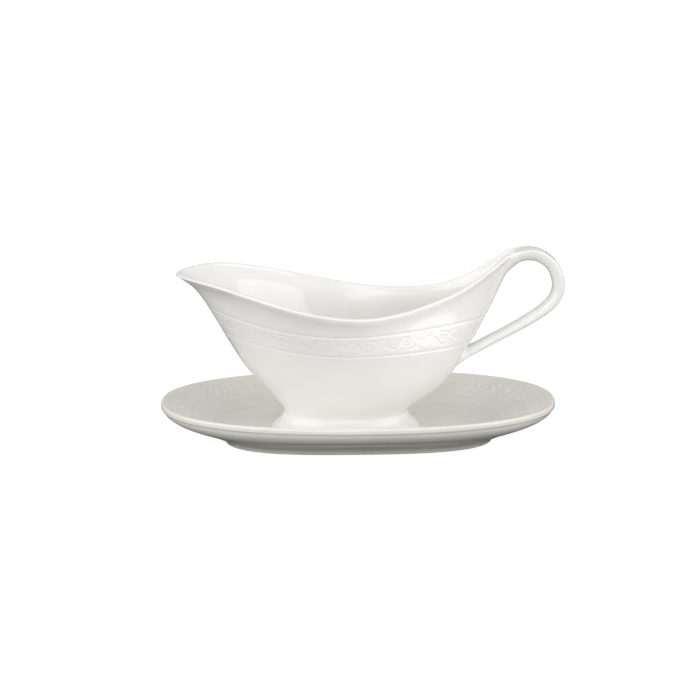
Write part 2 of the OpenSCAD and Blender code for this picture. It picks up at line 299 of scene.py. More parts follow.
@dataclass
class Skin:
    """A mesh in the making: points in millimetres and the faces between them."""

    points: list[Array] = field(default_factory=list)
    faces: list[Array] = field(default_factory=list)
    tags: list[Array] = field(default_factory=list)
    count: int = 0

    def add_points(self, grid: Array) -> Array:
        """Adds a grid of points.

        Args:
            grid: The points, in any grid whose last axis is x, y, z.

        Returns:
            The points' numbers, in the grid's shape.
        """
        numbers = self.count + np.arange(grid[..., 0].size).reshape(grid.shape[:-1])
        self.points.append(grid.reshape(-1, 3))
        self.count += grid[..., 0].size
        return numbers

    def add_grid(self, numbers: Array, tag: Surface = Surface.GLAZED, closed: bool = True) -> None:
        """Adds the four-sided faces of a grid of point numbers.

        Args:
            numbers: Point numbers, rows by columns.
            tag: Which of the piece's finishes the faces wear.
            closed: Whether the last column joins the first.
        """
        right = np.roll(numbers, -1, axis=1) if closed else numbers[:, 1:]
        left = numbers if closed else numbers[:, :-1]
        quads = np.stack([left[:-1], right[:-1], right[1:], left[1:]], axis=-1).reshape(-1, 4)
        self.faces.append(quads)
        self.tags.append(np.full(len(quads), tag))

    def add_fan(self, ring: Array, middle: Array) -> None:
        """Closes a ring of point numbers to one middle point, in glaze.

        Args:
            ring: The point numbers, in order.
            middle: The middle point.
        """
        tip = self.add_points(middle.reshape(1, 3))[0]
        tips = np.full_like(ring, tip)
        fan = np.stack([ring, np.roll(ring, -1), tips, tips], axis=-1)
        self.faces.append(fan)
        self.tags.append(np.full(len(fan), Surface.GLAZED))

    def piece(self, name: str, finishes: Sequence[bpy.types.Material]) -> bpy.types.Object:
        """Makes the object, in metres, with smooth shading.

        Args:
            name: The object's name.
            finishes: Materials, in the order of the faces' tags.

        Returns:
            The new object, linked to the scene.
        """
        points = np.concatenate(self.points) * MM
        faces, tags = np.concatenate(self.faces), np.concatenate(self.tags)
        used = np.unique(faces)
        number = np.full(len(points), -1)
        number[used] = np.arange(len(used))
        mesh = bpy.data.meshes.new(name)
        lists = [[number[v] for v in dict.fromkeys(f)] for f in faces.tolist()]
        mesh.from_pydata(points[used].tolist(), [], lists)
        mesh.polygons.foreach_set("material_index", tags.astype(np.int32))
        mesh.polygons.foreach_set("use_smooth", np.ones(len(tags), bool))
        mesh.validate()
        mesh.update()
        made = bpy.data.objects.new(name, mesh)
        bpy.context.scene.collection.objects.link(made)
        for finish in finishes:
            mesh.materials.append(finish)
        log.info("%s: %d points, %d faces", name, len(used), len(faces))
        return made


def seat_to_edges(grid: Array, rows: slice, rounds: int) -> None:
    """Softens a grid along its columns, in place, between two of its rows.

    Args:
        grid: Points, rows by columns by 3.
        rows: The rows that may move.
        rounds: How many times each is drawn towards its neighbours.
    """
    for _ in range(rounds):
        middle = (grid[rows.start - 1 : rows.stop - 1] + grid[rows.start + 1 : rows.stop + 1]) / 2
        grid[rows] = (grid[rows] + middle) / 2


# -------------------------------------------------------------------- boat


@dataclass(frozen=True)
class BoatPlan:
    """The boat's sizes in millimetres, measured from the middle of its foot's base."""

    centre: float
    base: float
    waist_length: float
    waist_width: float
    waist_height: float
    foot_length: float
    foot_width: float
    spout_reach: float
    tail_reach: float
    half_width: float
    rim_low: float
    spout_rise: float
    tail_height: float
    handle_reach: float
    tail_depth: float = 7.8
    trough_depth: float = 2.0
    strap_start: float = 8.0
    rim_wall: float = 3.2
    floor: float = 4.5
    wall: float = 3.2
    tail_slope: float = 33.0
    squareness: float = 2.15
    # How far the strap's outer face stands out, as a share of its line's reach.
    strap_bulge: float = 1.1006

    @staticmethod
    def from_frame() -> "BoatPlan":
        """Works the sizes out from the boxes of the CAD nodes.

        Returns:
            The boat's plan.
        """
        bowl, foot, handle = (
            [np.array(corner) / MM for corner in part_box(node)] for node in ("bowl", "foot", "handle")
        )
        centre = (foot[0][0] + foot[1][0]) / 2
        lean = math.sin(math.radians(BoatPlan.tail_slope)) * BoatPlan.tail_depth
        tail_reach = bowl[1][0] - lean - centre
        return BoatPlan(
            centre=centre,
            base=foot[0][2],
            waist_length=68.0,
            waist_width=45.0,
            waist_height=foot[1][2] - foot[0][2],
            foot_length=foot[1][0] - foot[0][0],
            foot_width=foot[1][1] - foot[0][1],
            spout_reach=centre - bowl[0][0],
            tail_reach=tail_reach,
            half_width=(bowl[1][1] - bowl[0][1]) / 2,
            rim_low=71.6,
            spout_rise=17.1,
            tail_height=bowl[1][2] - foot[0][2],
            handle_reach=(handle[1][0] - bowl[1][0] + lean) / BoatPlan.strap_bulge,
        )


class Boat:
    """The bowl, its lip, the handle and the pedestal foot as one glazed skin."""

    # The rim from the spout's tip to the tail on one side, as shares of the
    # reach, of the half width, and of the rise above the rim's lowest place.
    RIM = (
        (-1.000, 0.000, 0.985), (-0.973, 0.184, 0.995), (-0.893, 0.398, 1.0),
        (-0.743, 0.649, 0.924), (-0.551, 0.854, 0.694), (-0.316, 0.990, 0.376),
        (-0.080, 0.985, 0.118), (0.138, 0.870, 0.0), (0.337, 0.668, 0.027),
        (0.514, 0.475, 0.13), (0.669, 0.345, 0.293), (0.801, 0.26, 0.525),
        (0.912, 0.2, 0.785),
    )
    # How far each wall has spread from the waist to the rim, by its share of the height.
    SPOUT_WALL = (
        (0, 0), (0.12, 0.134), (0.3, 0.345), (0.5, 0.512), (0.7, 0.66), (0.86, 0.788), (0.93, 0.872), (1, 1),
    )
    SIDE_WALL = (
        (0, 0), (0.12, 0.22), (0.3, 0.44), (0.5, 0.61), (0.7, 0.765), (0.86, 0.862), (0.93, 0.926),
        (0.97, 0.978), (1, 1),
    )
    TAIL_WALL = (
        (0, 0), (0.1, 0.212), (0.25, 0.44), (0.45, 0.615), (0.65, 0.75), (0.85, 0.858), (0.94, 0.914),
        (1, 1),
    )
    # How far the plan has turned from the waist's oval to the rim's own line.
    NECK = ((0, 0), (0.2, 0.03), (0.4, 0.15), (0.6, 0.38), (0.8, 0.7), (0.9, 0.86), (1, 1))
    # How far the foot has spread from the waist to its base, by its share of the height.
    FOOT_FLARE = ((0, 1), (0.12, 0.88), (0.5, 0.3), (0.85, 0.05), (1, 0))
    # The strap's line as shares of the handle's reach: out and up from the tail.
    STRAP = (
        (0, 0), (0.17, 0.055), (0.37, 0.06), (0.58, 0.018), (0.766, -0.106), (0.92, -0.309),
        (1.0, -0.553), (0.99, -0.794), (0.886, -0.99), (0.69, -1.17), (0.375, -1.372),
        (0.02, -1.567), (-0.337, -1.755), (-0.60, -1.905),
    )
    # The handle's lower root: its level on the wall and its half width.
    ROOT_LEVEL = 0.335
    ROOT_HALF_WIDTH = 9.5
    # Heights of the scroll and of the two raised lines that edge it.
    SCROLL_RELIEF = 0.21
    LINE_RELIEF = 0.24
    # Half width, thickness towards the finger and thickness away from it.
    STRAP_SIZES = (
        (8.0, 7.8, -2.0), (7.3, 6.95, -0.4), (6.6, 6.35, 0.75), (6.6, 5.8, 1.4), (6.4, 5.3, 1.75),
        (6.2, 4.85, 2.05), (6.0, 4.5, 2.35), (5.8, 4.2, 2.5), (5.6, 3.85, 2.65), (5.4, 3.45, 2.75),
        (5.3, 3.0, 2.8), (5.3, 2.6, 2.8), (5.5, 2.5, 2.8), (6.1, 2.85, 2.5),
    )

    def __init__(self, plan: BoatPlan, side_columns: int = 330, tail_columns: int = 22) -> None:
        """Keeps the plan and lays out the rim.

        Args:
            plan: The boat's sizes.
            side_columns: Columns of the skin from the spout's tip to the tail's corner.
            tail_columns: Columns from that corner to the keel.
        """
        self.plan = plan
        self.side, self.tail = side_columns, tail_columns
        self.rim, self.out = self.lay_rim()

    def lay_rim(self) -> tuple[Array, Array]:
        """Lays out the rim of one side.

        Returns:
            Its outermost line and the outward directions.
        """
        p = self.plan
        stations = np.array(self.RIM)
        reach = np.where(stations[:, 0] < 0, p.spout_reach, p.tail_reach)
        rise = np.where(stations[:, 0] < 0.1, p.spout_rise, p.tail_height - p.rim_low)
        across, up = stations[:, 1] * p.half_width, p.rim_low + stations[:, 2] * rise
        line = np.stack([stations[:, 0] * reach, across, up], 1)
        corner = np.array([p.tail_reach, p.strap_start, p.tail_height])
        before = line[1] * [1, -1, 1]
        guides = np.vstack([before, line, corner, corner + [8, -0.8, 4.8]])
        dense = spline(guides, np.linspace(1, len(guides) - 2, 2000))
        dense[:, 1] *= p.half_width / dense[:, 1].max()
        at = even_steps(dense, self.side + 1)
        rim = np.stack([np.interp(at, np.arange(2000), dense[:, k]) for k in range(3)], 1)
        ahead = np.gradient(rim[:, :2], axis=0)
        ahead[0] = [0, 1]
        ahead /= np.linalg.norm(ahead, axis=1, keepdims=True)
        return rim, np.stack([-ahead[:, 1], ahead[:, 0], np.zeros(len(rim))], 1)

    def tail_point(self, side: Array, depth: Array) -> Array:
        """Points of the tail's end face.

        Args:
            side: Distance to the side.
            depth: Distance down the face from the rim.

        Returns:
            The points.
        """
        p, a = self.plan, math.radians(self.plan.tail_slope)
        return np.stack([
            p.tail_reach + depth * math.sin(a), side + 0 * depth, p.tail_height - depth * math.cos(a)
        ], -1)

    def top_edge(self, inset: float, drop: float, side: float, depth: float) -> Array:
        """Half a ring of the bowl's top edge, from the spout's tip to the keel.

        Args:
            inset: Distance in from the rim's outermost line.
            drop: Distance below the lip's crest.
            side: Half width of the ring where it turns down the tail.
            depth: How far down the tail it reaches.

        Returns:
            The points, one for each column of the half.
        """
        edge = self.rim - inset * self.out - [0, 0, drop]
        a = np.linspace(0, math.pi / 2, self.tail + 1)[1:]
        turn = self.tail_point(side * np.cos(a) ** 0.85, drop + (depth - drop) * np.sin(a) ** 0.85)
        return np.vstack([edge, turn])

    def wall(self, top: Array, level: Array, inner: bool = False) -> Array:
        """Points of the bowl's wall below its top edge.

        Args:
            top: The top edge, one point for each column.
            level: Shares of the height, rows by columns.
            inner: Whether this is the inside of the wall.

        Returns:
            Points, rows by columns by 3.
        """
        p = self.plan
        thin = p.wall if inner else 0.0
        lip = p.rim_wall if inner else 0.0
        half_l, half_w = p.waist_length / 2 - thin, p.waist_width / 2 - thin
        base = p.waist_height + (p.floor if inner else 0.0)
        spout, tail, across = p.spout_reach - lip, p.tail_reach - (1.5 if inner else 0.0), p.half_width - lip
        fore = top[:, 0] < 0
        reach = np.where(fore, spout, tail)
        u = np.stack([top[:, 0] / reach, top[:, 1] / across], -1)
        angle = np.arctan2(u[:, 1], u[:, 0])
        c, s = np.cos(angle), np.sin(angle)
        oval = (np.abs(c) ** p.squareness + np.abs(s) ** p.squareness) ** (-1 / p.squareness)
        radius = oval + (np.hypot(u[:, 0], u[:, 1]) - oval) * smooth_lookup(self.NECK, level)
        end = np.where(fore, smooth_lookup(self.SPOUT_WALL, level), smooth_lookup(self.TAIL_WALL, level))
        x = (half_l + (reach - half_l) * end) * radius * c
        y = (half_w + (across - half_w) * smooth_lookup(self.SIDE_WALL, level)) * radius * s
        return np.stack([x, y, base + (top[:, 2] - base) * level], -1)

    def band_levels(self, top: Array) -> tuple[Array, Array]:
        """Levels of the ornament band's two lines on each column.

        Args:
            top: The outer top edge.

        Returns:
            The lower line's levels and the upper line's.
        """
        p = self.plan
        level = np.full((1, len(top)), 0.6)
        found = []
        for upper in (False, True):
            for _ in range(12):
                x = self.wall(top, level)[..., 0] + p.centre - 8.0
                fore = np.clip(-x, 0, None)
                if upper:
                    height = 67.6 + 0.00125 * fore**2 + 0.0006 * np.clip(x, 0, None) ** 2
                else:
                    height = 56.2 + 0.00112 * fore**2
                level = (height - p.base - p.waist_height) / (top[:, 2] - p.waist_height)
                level = np.clip(level, 0.1, 0.95)
            found.append(level[0].copy())
        return found[0], found[1]

    def outer_rows(self, top: Array) -> tuple[Array, Array]:
        """Levels of the outer skin's rows on each column, and the rows' places in the band.

        Args:
            top: The outer top edge.

        Returns:
            Levels, rows by columns, and each row's share across the band,
            where 0 is the lower raised line and 1 the upper.
        """
        low, high = self.band_levels(top)
        across = np.linspace(-0.13, 1.13, 38)
        band = low + (high - low) * across[:, None]
        below = np.linspace(0, 1, 30)[:-1, None] ** 0.9 * band[0]
        rest = 1 - (1 - np.linspace(0, 1, 16)[1:, None]) ** 1.25
        above = band[-1] + (1 - band[-1]) * rest
        share = np.concatenate([np.full(len(below), -9.0), across, np.full(len(above), 9.0)])
        return np.vstack([below, band, above]), share

    def raise_band(self, half: Array, share: Array) -> Array:
        """Height of the raised lines and the scroll on each point of the outer skin.

        Args:
            half: The skin's points on one side, rows by columns.
            share: Each row's place across the band.

        Returns:
            Heights in millimetres, rows by columns.
        """
        middle = int(np.argmin(np.abs(share - 0.5)))
        low, high = (int(np.argmin(np.abs(share - s))) for s in (0.0, 1.0))
        run = np.concatenate([[0], np.cumsum(np.linalg.norm(np.diff(half[middle], axis=0), axis=1))])
        breadth = np.linalg.norm(half[high] - half[low], axis=1)
        across = (share[:, None] - 0.5) * breadth
        along = np.broadcast_to(run, across.shape)
        repeats = 2 * round(run[-1] / 46.0)
        scroll = ScrollBand(run[-1] / repeats, float(np.median(breadth)) - 3.2)
        ornament = self.SCROLL_RELIEF * scroll.relief(along, across * (np.median(breadth) / breadth))
        for edge in (0.0, 1.0):
            away = np.abs(share[:, None] - edge) * breadth
            ornament = ornament + self.LINE_RELIEF * np.sqrt(np.clip(1 - (away / 0.7) ** 2, 0, 1))
        return np.where(np.abs(share[:, None]) > 3, 0.0, ornament)

    def foot_rows(self, half_top: Array) -> Array:
        """The pedestal foot from the middle of its hollow down and up to the waist.

        Args:
            half_top: The outer top edge, which sets each column's direction.

        Returns:
            Points, rows by columns by 3.
        """
        p = self.plan
        u = half_top[:, :2] / [[1, p.half_width]]
        u[:, 0] /= np.where(half_top[:, 0] < 0, p.spout_reach, p.tail_reach)
        angle = np.arctan2(u[:, 1], u[:, 0])
        c, s = np.cos(angle), np.sin(angle)
        oval = (np.abs(c) ** p.squareness + np.abs(s) ** p.squareness) ** (-1 / p.squareness)

        def ring(share: float, inset: float, height: float) -> Array:
            """Makes one level ring of the foot.

            Args:
                share: Share of the foot's height, which sets its spread.
                inset: Distance in from the foot's outer side.
                height: The ring's height above the base.

            Returns:
                The ring's points.
            """
            spread = float(smooth_lookup(self.FOOT_FLARE, np.array(share)))
            a = p.waist_length / 2 + (p.foot_length - p.waist_length) / 2 * spread - inset
            b = p.waist_width / 2 + (p.foot_width - p.waist_width) / 2 * spread - inset
            return np.stack([a * oval * c, b * oval * s, np.full(len(c), height)], -1)

        rows = [ring(1, 3.4 + 18 * k, p.waist_height) for k in (1.0, 0.55, 0.2)]
        rows += [ring(1, 3.4, p.waist_height - 0.8)]
        rows += [ring(k, 3.4, p.waist_height * k) for k in (0.75, 0.5, 0.3, 0.15)]
        base = ((3.2, 0.5), (2.9, 0.12), (2.5, 0.0), (1.6, 0.0), (0.9, 0.0), (0.45, 0.14), (0.12, 0.5))
        rows += [ring(0, inset, height) for inset, height in base]
        rows += [ring(k, 0, p.waist_height * k) for k in np.linspace(0.09, 0.94, 14)]
        return np.array(rows)

    def strap_ring(self, t: float, edge_rows: int) -> Array:
        """One ring of points round the handle's strap.

        Args:
            t: Place along the strap, counted in its table's points.
            edge_rows: Points round each side edge.

        Returns:
            The ring: the finger side from edge to edge, one edge, the outer
            face back, and the other edge.
        """
        p = self.plan
        place = spline(np.array(self.STRAP) * p.handle_reach, np.array([t, t + 0.02, max(t - 0.02, 0)]))
        step = place[1] - place[2]
        heading = math.atan2(step[1], step[0])
        first_heading = math.radians(p.tail_slope)
        heading = first_heading + (heading - first_heading) * float(ease(np.array(t / 0.9)))
        half, finger, outer = spline(np.array(self.STRAP_SIZES), np.array([t]))[0]
        a = np.linspace(0, math.pi, 721)
        sharp = 0.85 - 0.25 * float(ease(np.array(t / 2.5))) * float(ease(np.array((13.5 - t) / 6)))
        inner = np.stack([half * power(np.cos(a), 0.8), finger * np.sin(a) ** 0.85], 1)
        outer_side = np.stack([-half * power(np.cos(a), sharp), -outer * np.sin(a) ** sharp], 1)
        n = 2 * self.tail + 1
        cut = 0.9

        def part(curve: Array, count: int) -> Array:
            """Spaces points evenly on a curve between its two edges' roundings.

            Args:
                curve: The curve, one point a row.
                count: How many points to give.

            Returns:
                The points.
            """
            run = np.concatenate([[0], np.cumsum(np.linalg.norm(np.diff(curve, axis=0), axis=1))])
            at = np.linspace(cut, run[-1] - cut, count)
            return np.stack([np.interp(at, run, curve[:, k]) for k in range(2)], 1)

        first, second = part(inner, n), part(outer_side, n)
        both = np.vstack([inner, outer_side[1:]])
        run = np.concatenate([[0], np.cumsum(np.linalg.norm(np.diff(both, axis=0), axis=1))])
        turn = run[len(inner) - 1]

        def edge(middle: float) -> Array:
            """Rounds one side edge, between the two faces.

            Args:
                middle: Distance round the section to the edge.

            Returns:
                The points.
            """
            at = (middle + np.linspace(-cut, cut, edge_rows + 2)[1:-1]) % run[-1]
            return np.stack([np.interp(at, run, both[:, k]) for k in range(2)], 1)

        flat = np.vstack([first, edge(turn), second, edge(0.0)])
        x = p.tail_reach + place[0, 0] + flat[:, 1] * math.sin(heading)
        z = p.tail_height + place[0, 1] - flat[:, 1] * math.cos(heading)
        return np.stack([x, flat[:, 0], z], 1)

    def wall_at(self, top: Array, side: Array, level: Array) -> Array:
        """Points of the outer wall at the tail.

        Args:
            top: The outer top edge.
            side: Each point's distance to the side.
            level: Each point's share of the height.

        Returns:
            The points, one a row.
        """
        near = top[-(self.tail + 90) :]
        found = []
        for y, v in zip(side, level):
            row = self.wall(near, np.full((1, len(near)), v))[0][::-1]
            x = np.interp(abs(y), row[:, 1], row[:, 0])
            z = np.interp(abs(y), row[:, 1], row[:, 2])
            found.append([x, y, z])
        return np.array(found)

    def build(self, finishes: Sequence[bpy.types.Material]) -> bpy.types.Object:
        """Builds the whole boat as one skin.

        Args:
            finishes: The glaze and the unglazed foot.

        Returns:
            The boat's object.
        """
        p = self.plan
        skin = Skin()
        top = self.top_edge(0.0, 1.2, p.strap_start, p.tail_depth)
        levels, share = self.outer_rows(top)
        half = self.wall(top, levels)
        relief = self.raise_band(half, share)
        foot = self.foot_rows(top)
        inner_top = self.top_edge(p.rim_wall, 1.2, p.strap_start - p.rim_wall, p.trough_depth)
        inner_levels = np.concatenate([np.linspace(1, 0.86, 9), np.linspace(0.84, 0, 34)])
        inner = self.wall(inner_top, np.repeat(inner_levels[:, None], len(inner_top), 1), inner=True)
        floor = [inner[-1] * [k, k, 1] for k in (0.94, 0.87, 0.79, 0.7, 0.6, 0.49, 0.37, 0.25, 0.12)]
        inner = np.concatenate([inner, np.array(floor)])

        def whole(grid: Array) -> Array:
            """Mirrors a grid that was made for one side.

            Args:
                grid: Points of the one side.

            Returns:
                Points of both.
            """
            return np.concatenate([grid, grid[:, -2:0:-1] * [1, -1, 1]], axis=1)

        outer = whole(half)
        heights = np.concatenate([relief, relief[:, -2:0:-1]], axis=1)
        outer = outer + grid_normals(outer) * heights[..., None]
        lower = whole(foot)
        body = np.concatenate([lower, outer])
        start = len(foot)
        seat_to_edges(body, slice(start - 2, start + 3), 6)
        inside = whole(inner)
        seat_to_edges(inside, slice(len(inner_levels) - 8, len(inside) - 1), 40)

        edge_rows = 9
        turn = np.linspace(0, math.pi, edge_rows + 2)[1:-1]
        lip = []
        for a in turn:
            inset = p.rim_wall / 2 * (1 - math.cos(a))
            lip.append(self.rim - inset * self.out - np.array([0, 0, 1.2 - 1.2 * math.sin(a)]))
        pad = np.repeat(self.rim[-1:], self.tail, axis=0)
        lips = whole(np.array([np.vstack([row, pad]) for row in lip]))

        body_n = skin.add_points(self.place(body))
        lip_n = skin.add_points(self.place(lips))
        in_n = skin.add_points(self.place(inside))
        bisque_rows = slice(8, 13)
        for row in range(len(body_n) - 1):
            bare = bisque_rows.start <= row < bisque_rows.stop
            skin.add_grid(body_n[row : row + 2], Surface.BARE if bare else Surface.GLAZED)
        skin.add_grid(in_n)
        skin.add_fan(body_n[0][::-1], self.place(body[0].mean(0)))
        skin.add_fan(in_n[-1], self.place(inside[-1].mean(0)))
        columns = body_n.shape[1]
        open_from, open_to = self.side, columns - self.side
        front = np.concatenate([np.arange(open_to, columns), np.arange(0, open_from + 1)])
        skin.add_grid(np.vstack([body_n[-1][front], lip_n[:, front], in_n[0][front]]), closed=False)

        keel = np.arange(open_from, open_to + 1)
        ring0 = np.concatenate([
            body_n[-1][keel], lip_n[:, open_to], in_n[0][keel][::-1], lip_n[::-1, open_from]
        ])
        flat = np.concatenate(skin.points)
        start_ring = flat[ring0] - self.origin()
        plain = self.strap_ring(0.0, edge_rows)
        rings = []
        steps = np.linspace(0, len(self.STRAP) - 1, 131)[1:]
        for t in steps:
            fade = 1 - float(ease(np.array(t / 1.8)))
            rings.append(self.strap_ring(float(t), edge_rows) + (start_ring - plain) * fade)
        strap = np.array([start_ring, *rings])
        seat_to_edges(strap, slice(1, 45), 60)
        rings = list(strap[1:])
        strap_end, before = rings[-1], rings[-8]
        rings += self.root_rings(top, strap_end, before)
        ring_n = skin.add_points(self.place(np.array(rings)))
        skin.add_grid(np.vstack([ring0, ring_n]))
        return skin.piece("boat", finishes)

    def root_rings(self, top: Array, end: Array, before: Array) -> list[Array]:
        """Rings that flare the strap's lower end into the bowl's wall.

        Args:
            top: The outer top edge.
            end: The strap's last ring.
            before: A ring a little before it.

        Returns:
            The rings, from the strap to inside the wall.
        """
        middle = end.mean(0)
        around = np.arctan2(end[:, 2] - middle[2], end[:, 1])
        grow = np.where(np.sin(around) > 0, 0.115, 0.085)

        def on_wall(scale: float, sink: float) -> Array:
            """Lays a ring on the wall.

            Args:
                scale: Its size, where 1 is the root's full spread.
                sink: How far it is sunk into the wall.

            Returns:
                The ring's points.
            """
            level = self.ROOT_LEVEL + scale * grow * np.sin(around)
            ring = self.wall_at(top, self.ROOT_HALF_WIDTH * scale * np.cos(around), level)
            return ring - [sink, 0, 0]

        wall, inside = on_wall(1.0, 0.0), on_wall(0.72, 0.0)
        lean = (end - before) * 1.3
        rings = []
        for s in np.linspace(0, 1, 15)[1:]:
            b = end + lean
            c = inside + 0.35 * (b - inside)
            u = 1 - s
            rings.append(u**3 * end + 3 * u * u * s * b + 3 * u * s * s * c + s**3 * wall)
        rings.append(on_wall(1.02, 0.8))
        return rings

    def origin(self) -> Array:
        """The middle of the foot's base, in millimetres in the shared frame."""
        return np.array([self.plan.centre, 0.0, self.plan.base])

    def place(self, points: Array) -> Array:
        """Points moved from the boat's own place to the shared frame."""
        return points + self.origin()


# ------------------------------------------------------------------- stand


@dataclass(frozen=True)
class StandPlan:
    """The stand's sizes in millimetres."""

    length: float
    width: float
    height: float
    floor: float
    well: tuple[float, float] = (73.5, 32.0)
    well_step: float = 5.5
    well_depth: float = 2.5
    lip: float = 3.2
    band: float = 16.4
    band_rise: float = 0.47
    ring_height: float = 2.8
    ring_width: float = 3.4

    @staticmethod
    def from_frame() -> "StandPlan":
        """Works the sizes out from the boxes of the CAD nodes.

        Returns:
            The stand's plan.
        """
        low, high = (np.array(corner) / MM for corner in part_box("stand"))
        foot = np.array(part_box("foot")[0]) / MM
        return StandPlan(high[0] - low[0], high[1] - low[1], high[2] - low[2], foot[2])


class Stand:
    """The oval stand: a well for the boat's foot, a scrolled rim and a foot ring."""

    def __init__(self, plan: StandPlan, columns: int = 904) -> None:
        """Keeps the plan.

        Args:
            plan: The stand's sizes.
            columns: Columns of the skin, a multiple of 4.
        """
        self.plan = plan
        self.columns = columns

    def ovals(self) -> tuple[Array, Array, Array]:
        """Guide ovals of the upper side, the lip and the underside.

        Returns:
            Three tables of half length, half width, squareness and height.
        """
        p = self.plan
        crest = np.array([(p.length - p.lip) / 2, (p.width - p.lip) / 2, 2.28, p.height])
        edge = np.array([p.well[0] + p.well_step, p.well[1] + p.well_step, 2.8, p.floor + p.well_depth])
        band_height = edge[3] + (p.height - edge[3]) * p.band_rise
        band = np.array([crest[0] - p.band, crest[1] - p.band, 2.4, band_height])
        upper = np.array([
            [p.well[0] - 12, p.well[1] - 9, 2.7, p.floor],
            [p.well[0] - 3, p.well[1] - 2.5, 2.8, p.floor + 0.05],
            edge - [4.2, 4.2, 0, 1.75],
            edge - [1.6, 1.6, 0, 0.45],
            edge,
            edge + (band - edge) * 0.16 + [0, 0, 0, 0.2],
            edge + (band - edge) * 0.5,
            band,
            band + (crest - band) * 0.5,
            band + (crest - band) * 0.85,
            crest,
        ])
        turn = np.radians(np.linspace(0, 158, 19)[1:])
        r = p.lip / 2
        out, down = power(np.sin(turn), 0.55), power(np.cos(turn), 0.75) - 1
        lip = crest + r * np.stack([out, out, 0 * turn, down * 1.12], 1)
        ring = np.array([p.well[0] + 0.6, p.well[1] + 4.8])
        corner = np.array([ring[0] + 5.2, ring[1] + 4.8, 2.8, p.ring_height + 1.7])
        outer = lip[-1]
        under = []
        for share, rise in ((0.94, 0.83), (0.8, 0.64), (0.6, 0.47), (0.4, 0.325), (0.2, 0.18)):
            height = corner[3] + (outer[3] - corner[3]) * rise
            under.append([*(corner + (outer - corner) * share)[:3], height])
        under += [corner]
        for out, height in ((2.8, 3.2), (1.5, 2.0), (0.75, 1.0), (0.25, 0.3), (-0.3, 0.02), (-0.9, 0.0)):
            under.append([ring[0] + out, ring[1] + out, 2.8, height])
        inner = ((-2.4, 0.0), (-3.1, 0.05), (-3.7, 0.4), (-4.3, 1.4), (-5.0, 2.4), (-6.6, 2.8), (-14, 2.8))
        for out, height in inner:
            under.append([ring[0] + out, ring[1] + out, 2.8, height])
        return upper, lip, np.array(under, float)

    def ring(self, ovals: Array) -> Array:
        """Turns a table of ovals to rings of points.

        Args:
            ovals: Half length, half width, squareness and height, one oval a row.

        Returns:
            The points, rows by columns by 3.
        """
        angle = np.linspace(0, 2 * math.pi, self.columns, endpoint=False)
        angle = angle - 0.16 * np.sin(2 * angle)
        c, s = np.cos(angle), np.sin(angle)
        a, b, n, z = (ovals[:, k][:, None] for k in range(4))
        x = a * np.sign(c) * np.abs(c) ** (2 / n)
        y = b * np.sign(s) * np.abs(s) ** (2 / n)
        return np.stack([x, y, z + 0 * x], -1)

    def raise_band(self, rows: Array) -> Array:
        """Height of the scroll and the raised lines on rows across the rim.

        Args:
            rows: Points of the rim, from the band's inner line to the crest.

        Returns:
            Heights in millimetres, rows by columns.
        """
        run_across = np.concatenate([
            np.zeros((1, rows.shape[1])),
            np.cumsum(np.linalg.norm(np.diff(rows, axis=0), axis=2), axis=0),
        ])
        quarter = self.columns // 4
        middle = rows[int(np.argmin(np.abs(run_across[:, 0] - 9.0)))]
        pieces = np.linalg.norm(np.diff(middle[: quarter + 1], axis=0), axis=1)
        run = np.concatenate([[0], np.cumsum(pieces)])
        along = np.concatenate([run[:-1], run[:0:-1]] * 2)
        scroll = ScrollBand(run[-1] / (2 * round(run[-1] / 52.0)), 11.0)
        u = np.broadcast_to(along, run_across.shape)
        full = run_across[-1]
        w = run_across - (1.6 + 12.6) / 2
        heights = 0.42 * scroll.relief(u, w)
        for place, size in ((0.6, 0.35), (13.6, 0.3)):
            heights = heights + size * np.sqrt(np.clip(1 - ((run_across - place) / 0.7) ** 2, 0, 1))
        return heights * ease((full - run_across) / 1.5)

    def build(self, finishes: Sequence[bpy.types.Material]) -> bpy.types.Object:
        """Builds the stand as one closed skin.

        Args:
            finishes: The glaze and the unglazed ring.

        Returns:
            The stand's object.
        """
        upper, lip, under = self.ovals()
        guide = np.concatenate([upper, lip[:1]])
        steps = np.concatenate([np.linspace(0, 7, 48)[:-1], np.linspace(7, 10, 34)])
        top = self.ring(spline(guide, steps))
        band_rows = slice(47, len(top))
        normals = grid_normals(top)
        top[band_rows] += normals[band_rows] * self.raise_band(top[band_rows])[..., None]
        centre_rows = self.ring(spline(guide, np.array([0.0]))) * [0.05, 0.05, 1]
        shares = (0.08, 0.2, 0.35, 0.5, 0.65, 0.8, 0.92)
        fill = np.array([self.ring(guide[:1])[0] * [k, k, 1] for k in shares])
        bottom_guide = np.concatenate([lip[-1:], under])
        down = self.ring(spline(bottom_guide, np.linspace(0, len(bottom_guide) - 1, 68)[1:]))
        grid = np.concatenate([centre_rows, fill, top, self.ring(lip), down])
        end = np.array([grid[-1] * [k, k, 1] for k in (0.85, 0.65, 0.45, 0.25, 0.08)])
        grid = np.concatenate([grid, end])
        skin = Skin()
        numbers = skin.add_points(grid)
        flat = np.abs(grid[:-1, 0, 2]) < 0.25
        low = (np.arange(len(grid) - 1) > len(fill) + len(top)) & flat
        for row in range(len(grid) - 1):
            skin.add_grid(numbers[row : row + 2], Surface.BARE if low[row] else Surface.GLAZED)
        skin.add_fan(numbers[0][::-1], grid[0].mean(0))
        skin.add_fan(numbers[-1], grid[-1].mean(0))
        return skin.piece("stand", finishes)


# ---------------------------------------------------------------- finishes


